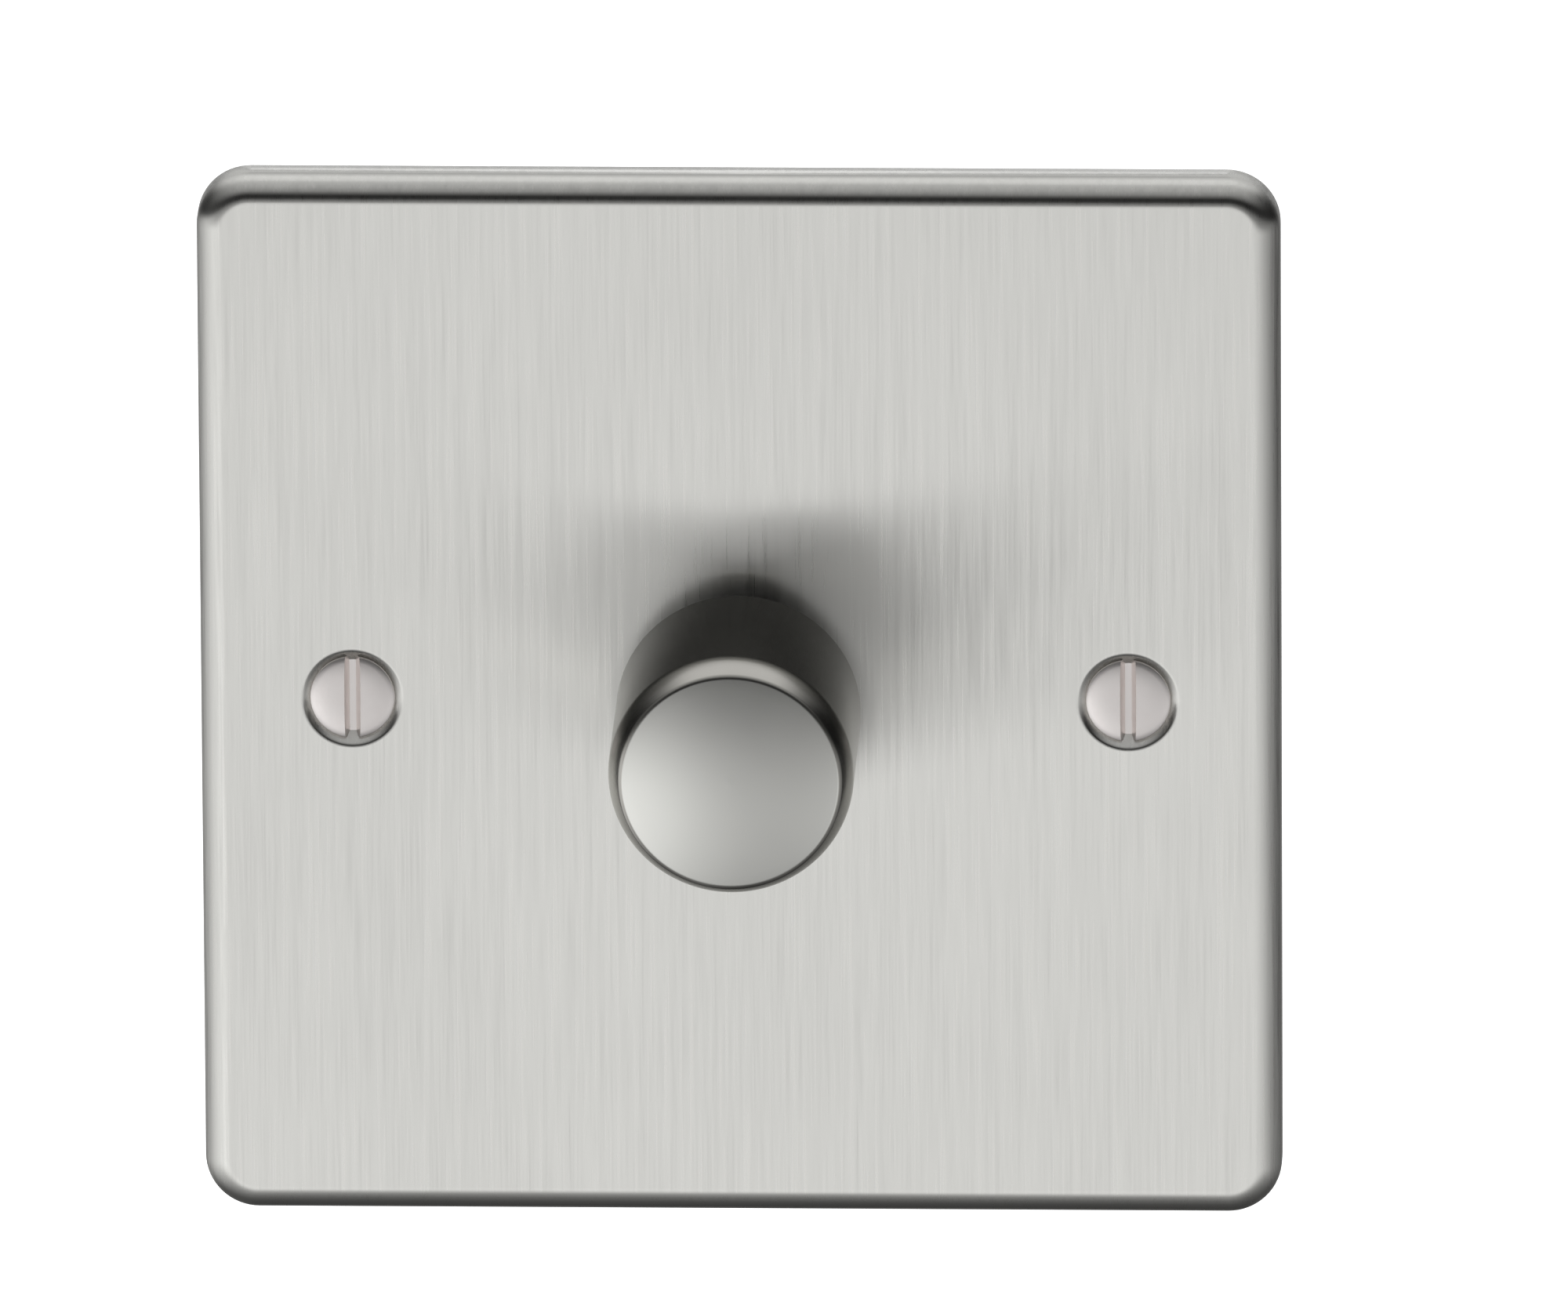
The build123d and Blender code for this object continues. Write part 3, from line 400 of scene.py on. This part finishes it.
def fuse_finish():
    """White ceramic between nickel-plated end caps."""
    made = Shader("fuse_ceramic")
    low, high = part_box("fuse")
    from_middle = made.math("ABSOLUTE", made.math("SUBTRACT", made.along("Z"), (low.z + high.z) / 2))
    cap = made.math("GREATER_THAN", from_middle, (high.z - low.z) / 2 - FUSE_CAP * MM)
    cloudy = made.noise(1.0, 3.0)
    made.colour(made.mix(cap, made.mix(cloudy, (0.74, 0.72, 0.66), (0.84, 0.83, 0.79)),
                         made.mix(cloudy, (0.60, 0.58, 0.54), (0.72, 0.70, 0.66))))
    made.link(cap, made.surface.inputs["Metallic"])
    made.rough(cloudy, 0.2, 0.35)
    return made.material


def resistor_finish():
    """Beige lacquer with coloured rings, tinned wires past its ends."""
    made = Shader("component_beige")
    low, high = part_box("resistors")
    share = made.spread(made.along("X"), 0.0, 1.0, (low.x, high.x))
    beige, lead = (0.56, 0.42, 0.26), (0.62, 0.61, 0.58)
    brown, black, gold = (0.16, 0.06, 0.02), (0.015, 0.015, 0.015), (0.50, 0.34, 0.10)
    stops = [(0.0, lead), (0.18, beige), (0.27, brown), (0.33, beige), (0.40, black), (0.46, beige),
             (0.53, gold), (0.59, beige), (0.70, brown), (0.76, beige), (0.82, lead)]
    made.colour(made.ramp(share, stops, "CONSTANT"))
    made.rough(made.noise(1.5), 0.25, 0.4)
    return made.material


def printed_carbon():
    """Matt black resistive ink."""
    made = Shader("carbon_print")
    grain = made.noise(8.0, 3.0)
    made.colour(made.mix(grain, (0.008, 0.008, 0.009), (0.022, 0.022, 0.023)))
    made.rough(grain, 0.35, 0.55)
    made.bump(grain, 0.004)
    return made.material


def smooth(mesh):
    """Shades a mesh smoothly, but keeps its sharp edges."""
    mesh.shade_smooth()
    mesh.set_sharp_from_angle(angle=math.radians(SHARP_ANGLE))


def object_from(name, bm, *materials):
    """Turns a mesh under construction into a smooth object."""
    bmesh.ops.recalc_face_normals(bm, faces=bm.faces)
    mesh = bpy.data.meshes.new(name)
    bm.to_mesh(mesh)
    bm.free()
    for material in materials:
        mesh.materials.append(material)
    smooth(mesh)
    made = bpy.data.objects.new(name, mesh)
    bpy.context.scene.collection.objects.link(made)
    return made


def stand_for(piece, body, slot, *nodes):
    """Makes a piece ride on a body in place of carried nodes; its slot is not used."""
    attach(piece, body)
    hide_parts(*nodes)


def ring(bm, points):
    return [bm.verts.new(point) for point in points]


def bridge(bm, first, second):
    """Joins two rings of as many points, or a ring and a single point."""
    count = max(len(first), len(second))
    for i in range(count):
        j = (i + 1) % count
        corners = [first[i % len(first)], first[j % len(first)]]
        corners += [second[j % len(second)], second[i % len(second)]]
        bm.faces.new(dict.fromkeys(corners))


def loft(bm, rings):
    for first, second in zip(rings, rings[1:]):
        bridge(bm, first, second)


def fill(bm, *rings):
    """A flat face inside the first ring and round the others."""
    edges = []
    for points in rings:
        for pair in zip(points, points[1:] + points[:1]):
            edges.append(bm.edges.get(pair) or bm.edges.new(pair))
    bmesh.ops.triangle_fill(bm, use_beauty=True, edges=edges)


def quarter(steps):
    """The angles of a quarter turn, both ends among them."""
    return [math.pi / 2 * i / steps for i in range(steps + 1)]


def circle(bm, radius, height, at, count):
    """A ring of points about a y axis, or one point where the radius is 0."""
    if radius == 0:
        return ring(bm, [(at[0], -height * MM, at[1])])
    reach = radius * MM
    turns = [2 * math.pi * i / count for i in range(count)]
    return ring(bm, [(at[0] + reach * math.cos(turn), -height * MM, at[1] + reach * math.sin(turn))
                     for turn in turns])


def lathe(bm, outline, count, at=(0, 0)):
    """Turns an outline of (radius, height) points about a y axis and returns its rings."""
    rings = [circle(bm, radius, height, at, count) for radius, height in outline]
    loft(bm, rings)
    return rings


def rounded_square(bm, half, corner, height):
    """A ring round a square with rounded corners."""
    points = []
    inner = half - corner
    for quarters, (x, z) in enumerate(((1, 1), (-1, 1), (-1, -1), (1, -1))):
        for step in range(CORNER_STEPS + 1):
            turn = math.pi / 2 * (quarters + step / CORNER_STEPS)
            points.append(((x * inner + corner * math.cos(turn)) * MM, -height * MM,
                           (z * inner + corner * math.sin(turn)) * MM))
    return ring(bm, points)


def arcs_from(start, arcs):
    """Points from a straight side along smoothly joined arcs, each a radius and the tilt it ends at."""
    radius, height = start
    points = [start]
    tilt = 0
    for bend, end in arcs:
        for step in range(1, ARC_STEPS + 1):
            here = tilt + (end - tilt) * step / ARC_STEPS
            inwards = math.cos(math.radians(tilt)) - math.cos(math.radians(here))
            upwards = math.sin(math.radians(here)) - math.sin(math.radians(tilt))
            points.append((max(0, radius - bend * inwards), height + bend * upwards))
        radius, height = points[-1]
        tilt = end
    return points


def middle_of(node):
    """The middle of a node's box across and up, in metres."""
    low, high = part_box(node)
    return (low.x + high.x) / 2, (low.z + high.z) / 2


def half_width_of(node):
    low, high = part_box(node)
    return (high.x - low.x) / 2 / MM


def heights_of(node):
    """How far a node's back and front stand out from the wall, in millimetres."""
    low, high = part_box(node)
    return -high.y / MM, -low.y / MM


def build_plate():
    """The drawn plate: two skins round one bend, joined at the rim and through its three holes."""
    _, depth = heights_of("faceplate")
    half = half_width_of("faceplate")
    back = depth - PLATE_SHEET
    lip = depth - PLATE_BEND
    bm = bmesh.new()

    def skin(rim, sheet, top):
        bend = PLATE_BEND - sheet
        outline = rim + [(sheet + bend * (1 - math.cos(turn)), lip + bend * math.sin(turn))
                         for turn in quarter(BEND_STEPS)]
        outline.append((PLATE_BEND + SUPPORT, top))
        rings = [rounded_square(bm, half - inset, PLATE_CORNER - inset, height) for inset, height in outline]
        loft(bm, rings)
        return rings

    outer = skin([(EDGE_BREAK, 0), (EDGE_BREAK / 3, EDGE_BREAK / 3), (0, EDGE_BREAK)], 0, depth)
    inner = skin([(PLATE_SHEET - EDGE_BREAK, 0), (PLATE_SHEET, EDGE_BREAK)], PLATE_SHEET, back)
    bridge(bm, outer[0], inner[0])
    sink_floor = depth - (SINK_MOUTH - SINK_HOLE) - SINK_LAND
    dimple = SINK_HOLE + PLATE_SHEET
    dimple_top = dimple + back - sink_floor
    sink = [
        (SINK_MOUTH + EDGE_BREAK + SUPPORT, depth), (SINK_MOUTH + EDGE_BREAK, depth),
        (SINK_MOUTH + EDGE_BREAK / 4, depth - EDGE_BREAK / 5), (SINK_MOUTH - EDGE_BREAK, depth - EDGE_BREAK),
        (SINK_HOLE, sink_floor + SINK_LAND), (SINK_HOLE, sink_floor), (dimple, sink_floor),
        (dimple_top, back), (dimple_top + SUPPORT, back),
    ]
    centre = [
        (BUSH_HOLE + EDGE_BREAK + SUPPORT, depth), (BUSH_HOLE + EDGE_BREAK, depth),
        (BUSH_HOLE, depth - EDGE_BREAK), (BUSH_HOLE, back), (BUSH_HOLE + SUPPORT, back),
    ]
    holes = [lathe(bm, sink, HOLE_STEPS, (middle_of(node)[0], 0)) for node in FIXING_SCREWS]
    holes.append(lathe(bm, centre, HOLE_STEPS))
    fill(bm, outer[-1], *[rings[0] for rings in holes])
    fill(bm, inner[-1], *[rings[-1] for rings in holes])
    stand_for(object_from("plate", bm, brushed_plate()), "base", "plate_steel", "faceplate")


def build_knob():
    """The knob's turned shell: a straight side, arcs round its front edge and a slight dome."""
    back, front = heights_of("knob_shell")
    radius = half_width_of("knob_shell")
    inside = radius - KNOB_WALL
    tilt = KNOB_ARCS[-1][1]
    face_radius, face_height = arcs_from((radius, 0), KNOB_ARCS)[-1]
    ball = face_radius / math.cos(math.radians(tilt))
    dome = ball * (1 - math.sin(math.radians(tilt)))
    start = (radius, front - face_height - dome)
    floor = front - KNOB_FRONT
    outline = [(0, floor), (inside - KNOB_RIM, floor), (inside, floor - KNOB_RIM), (inside, back + KNOB_RIM)]
    outline += [(inside + KNOB_RIM / 2, back), (radius - KNOB_RIM, back)]
    outline += [(radius - KNOB_RIM * (1 - math.sin(turn)), back + KNOB_RIM * (1 - math.cos(turn)))
                for turn in quarter(RIM_STEPS)[1:]]
    outline += arcs_from(start, KNOB_ARCS + ((ball, 90),))
    bm = bmesh.new()
    lathe(bm, outline, KNOB_STEPS)
    for face in bm.faces:
        middle = face.calc_center_median() / MM
        across = math.hypot(middle.x, middle.z)
        if -middle.y > front - dome - KNOB_FACE_REACH and across < face_radius + KNOB_FACE_REACH:
            face.material_index = 1
    stand_for(object_from("knob", bm, knob_side_with_painted_shade(), knob_face()), "knob", "knob_metal", "knob_shell")


def thread(bm, start, end, at):
    """The rings of a right-hand thread from one height down to another, fading at both."""
    steps = round((start - end) / STUD_PITCH * THREAD_ROWS)
    rings = []
    for step in range(steps + 1):
        height = start + (end - start) * step / steps
        cut = THREAD_DEPTH * min(STUD_PITCH, start - height, height - end)
        points = []
        for i in range(SCREW_STEPS):
            phase = (height / STUD_PITCH - i / SCREW_STEPS) % 1
            here = (STUD / 2 - cut * abs(2 * phase - 1)) * MM
            turn = 2 * math.pi * i / SCREW_STEPS
            points.append((at[0] + here * math.cos(turn), -height * MM, at[1] + here * math.sin(turn)))
        rings.append(ring(bm, points))
    return rings


def cut_slot(piece, at, crown):
    """Cuts an upright slot with leaning walls into a screw's head."""
    rows = ((crown + SLOT_DEPTH, 2 * SLOT_WIDTH - SLOT_FLOOR), (crown - SLOT_DEPTH, SLOT_FLOOR))
    bm = bmesh.new()
    corners = ring(bm, [(at[0] + side * width / 2 * MM, -height * MM, at[1] + end * SLOT_REACH * MM)
                        for side in (-1, 1) for height, width in rows for end in (-1, 1)])
    for face in ((0, 1, 3, 2), (4, 6, 7, 5), (0, 4, 5, 1), (2, 3, 7, 6), (0, 2, 6, 4), (1, 5, 7, 3)):
        bm.faces.new([corners[i] for i in face])
    cutter = object_from("cutter", bm)
    cut = piece.modifiers.new("slot", "BOOLEAN")
    cut.operation = "DIFFERENCE"
    cut.object = cutter
    shape = piece.evaluated_get(bpy.context.evaluated_depsgraph_get())
    carved = bpy.data.meshes.new_from_object(shape)
    piece.modifiers.clear()
    piece.data = carved
    smooth(carved)
    bpy.data.objects.remove(cutter)


def screw_outline(rim, crown):
    """A captive screw's outline from its raised countersunk head down its waist to its thread."""
    flat = rim - HEAD_ROUND
    edge = crown - HEAD_DOME
    seat = edge - HEAD_SIDE
    neck = seat - (rim - STUD / 2)
    shares = [i / CROWN_STEPS for i in range(CROWN_STEPS + 1)]
    outline = [(flat * share, crown - HEAD_DOME * share**4) for share in shares]
    outline += [(flat + HEAD_ROUND * math.sin(turn), edge - HEAD_ROUND * (1 - math.cos(turn)))
                for turn in quarter(RIM_STEPS)[RIM_STEPS // 2:]]
    outline += [(rim, seat), (STUD / 2, neck)]
    return outline + [(NECK / 2, neck), (NECK / 2, STUD_START), (STUD / 2, STUD_START)]


def build_fixing_screw(node, material):
    """A fixing screw: its head and waist, its thread, its tapered tip and its slot."""
    at = middle_of(node)
    back = heights_of(node)[0]
    tip = back + STUD_PITCH
    crown = heights_of("faceplate")[1] - HEAD_SINK
    bm = bmesh.new()
    outline = screw_outline(half_width_of(node), crown)
    rings = [circle(bm, radius, height, at, SCREW_STEPS) for radius, height in outline]
    rings += thread(bm, STUD_START, tip, at)
    rings += [circle(bm, radius, back, at, SCREW_STEPS) for radius in (STUD / 2 - STUD_PITCH, 0)]
    loft(bm, rings)
    piece = object_from(node + "_cut", bm, material)
    cut_slot(piece, at, crown)
    stand_for(piece, "base", "nickel_screw", node)


def dress_nodes():
    """Gives every carried part its slot's material, and returns the materials."""
    by_slot = {
        "plate_steel": metal("plain_steel", (0.56, 0.56, 0.54), (0.66, 0.66, 0.64)),
        "knob_metal": metal("knob_blank", (0.56, 0.56, 0.54), (0.62, 0.62, 0.60)),
        "nickel_screw": metal("nickel_screw", (0.93, 0.88, 0.86), (0.99, 0.95, 0.93), 0.32, 0.42),
        "zinc_steel": metal("zinc_steel", (0.46, 0.48, 0.50), (0.62, 0.63, 0.63), 0.24, 0.42),
        "aluminium_sheet": metal("aluminium_sheet", (0.58, 0.59, 0.60), (0.72, 0.72, 0.73), 0.3, 0.45,
                                 (2.5, 2.5, 0.06), (6.0, 6.0, 0.2), Anisotropic=0.4),
        "brass": metal("brass", (0.56, 0.39, 0.15), (0.72, 0.54, 0.26), 0.25, 0.42),
        "spring_steel": metal("spring_steel", (0.36, 0.36, 0.36), (0.50, 0.50, 0.50), 0.25, 0.4),
        "black_moulding": moulding("black_moulding", (0.016, 0.016, 0.017), (0.026, 0.026, 0.027)),
        "white_moulding": moulding("white_moulding", (0.62, 0.61, 0.56), (0.72, 0.71, 0.66), 0.35, 0.5,
                                   Subsurface_Weight=0.15, Subsurface_Scale=0.001),
        "board_laminate": laminate(),
        "carbon_print": printed_carbon(),
        "iron_powder": ring_core(),
        "enamelled_copper": winding_wire(),
        "component_black": triac_finish(),
        "film_box": moulding("film_box", (0.62, 0.44, 0.05), (0.74, 0.56, 0.09), 0.25, 0.35),
        "component_beige": resistor_finish(),
        "fuse_ceramic": fuse_finish(),
        "grey_pad": moulding("grey_pad", (0.26, 0.28, 0.31), (0.38, 0.40, 0.43), 0.6, 0.75),
    }
    for part in frame["record"]["subparts"]:
        mesh = frame["nodes"][part["node"]].data
        mesh.materials.clear()
        mesh.materials.append(by_slot[part["material_slot"]])
    return by_slot


def make_camera():
    """The photograph's viewing angle, at its scale on the plate and with the plate where it shows."""
    data = bpy.data.cameras.new("camera")
    data.sensor_width = SENSOR_WIDTH
    data.lens = SENSOR_WIDTH * CAMERA_DISTANCE / (PHOTO_WIDTH / PIXELS_PER_MM * MM)
    camera = bpy.data.objects.new("camera", data)
    bpy.context.scene.collection.objects.link(camera)
    azimuth, elevation = math.radians(CAMERA_AZIMUTH), math.radians(CAMERA_ELEVATION)
    back = Vector((math.sin(azimuth) * math.cos(elevation), -math.cos(azimuth) * math.cos(elevation),
                   math.sin(elevation)))
    turn = back.to_track_quat("Z", "Y") @ Quaternion((0, 0, 1), math.radians(CAMERA_ROLL))
    x, z = middle_of("faceplate")
    middle = Vector((x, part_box("faceplate")[0].y, z))
    right = (PHOTO_WIDTH / 2 - PLATE_MIDDLE_PIXEL[0]) / PIXELS_PER_MM * MM
    up = (PLATE_MIDDLE_PIXEL[1] - PHOTO_HEIGHT / 2) / PIXELS_PER_MM * MM
    aim = middle + turn @ Vector((right, up, 0))
    camera.rotation_mode = "QUATERNION"
    camera.location = aim + back * CAMERA_DISTANCE
    camera.rotation_quaternion = turn
    bpy.context.scene.camera = camera


def make_world():
    """A room in greys by direction; white to the camera, and to reflections of what is straight behind."""
    world = bpy.data.worlds.new("world")
    bpy.context.scene.world = world
    world.use_nodes = True
    made = Tree(world.node_tree)
    parts = made.node("ShaderNodeSeparateXYZ")
    made.link(made.node("ShaderNodeTexCoord").outputs["Generated"], parts.inputs["Vector"])
    roll = made.math("ARCTAN2", parts.outputs["Z"], made.math("MULTIPLY", parts.outputs["Y"], -1))
    turn = made.spread(roll, 0, 1, (-math.pi, math.pi))
    level = made.ramp(turn, [((degrees + 180) / 360, (level,) * 3) for degrees, level in ROOM_BY_ROLL])
    side = made.ramp(made.spread(parts.outputs["X"], 0, 1, (-1, 1)),
                     [((x + 1) / 2, (level,) * 3) for x, level in ROOM_BY_SIDE])
    low_share = made.spread(parts.outputs["Z"], 1, 0, (-ROOM_HORIZON, ROOM_HORIZON), "SMOOTHSTEP")
    middle = made.math("MULTIPLY", level, made.mix(low_share, (1, 1, 1), side))
    left = made.spread(parts.outputs["Y"], *ROOM_LEFT, ROOM_BEHIND)
    right = made.spread(parts.outputs["Y"], *ROOM_RIGHT, ROOM_BEHIND)
    ends = made.mix(made.spread(parts.outputs["X"], 0, 1, ROOM_MIDDLE), left, right)
    ends = made.math("MULTIPLY", ends, made.spread(low_share, ROOM_END_ABOVE, 1))
    sideways = made.math("ABSOLUTE", parts.outputs["X"])
    room = made.mix(made.spread(sideways, 0, 1, ROOM_END, "SMOOTHSTEP"), middle, ends)
    path = made.node("ShaderNodeLightPath")
    shown = made.math("MAXIMUM", path.outputs["Is Camera Ray"], path.outputs["Is Transmission Ray"])
    backdrop = made.spread(parts.outputs["Y"], 0, 1, BACKDROP, "SMOOTHSTEP")
    shown = made.math("MAXIMUM", shown, made.math("MULTIPLY", path.outputs["Is Glossy Ray"], backdrop))
    background = made.tree.nodes["Background"]
    made.link(made.mix(shown, room, (1, 1, 1)), background.inputs["Color"])


def make_floor():
    """A plain pale floor that shows white, takes the object's shadow and can't be seen from below."""
    low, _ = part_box("faceplate")
    mesh = bpy.data.meshes.new("floor")
    half = FLOOR_SIZE / 2
    z = low.z - FLOOR_DROP
    corners = [(-half, -half, z), (half, -half, z), (half, half, z), (-half, half, z)]
    mesh.from_pydata(corners, [], [(0, 1, 2, 3)])
    floor = bpy.data.objects.new("floor", mesh)
    bpy.context.scene.collection.objects.link(floor)
    floor.visible_glossy = False
    made = Shader("floor", Base_Color=(0.8, 0.8, 0.8, 1), Roughness=0.9, Emission_Color=(1, 1, 1, 1))
    path = made.node("ShaderNodeLightPath")
    made.link(path.outputs["Is Camera Ray"], made.surface.inputs["Emission Strength"])
    under = made.node("ShaderNodeNewGeometry").outputs["Backfacing"]
    made.link(made.math("SUBTRACT", 1, under), made.surface.inputs["Alpha"])
    mesh.materials.append(made.material)


materials = dress_nodes()
build_plate()
build_knob()
for screw in FIXING_SCREWS:
    build_fixing_screw(screw, materials["nickel_screw"])
make_floor()
make_world()
make_camera()
bpy.context.scene.view_settings.view_transform = "Standard"
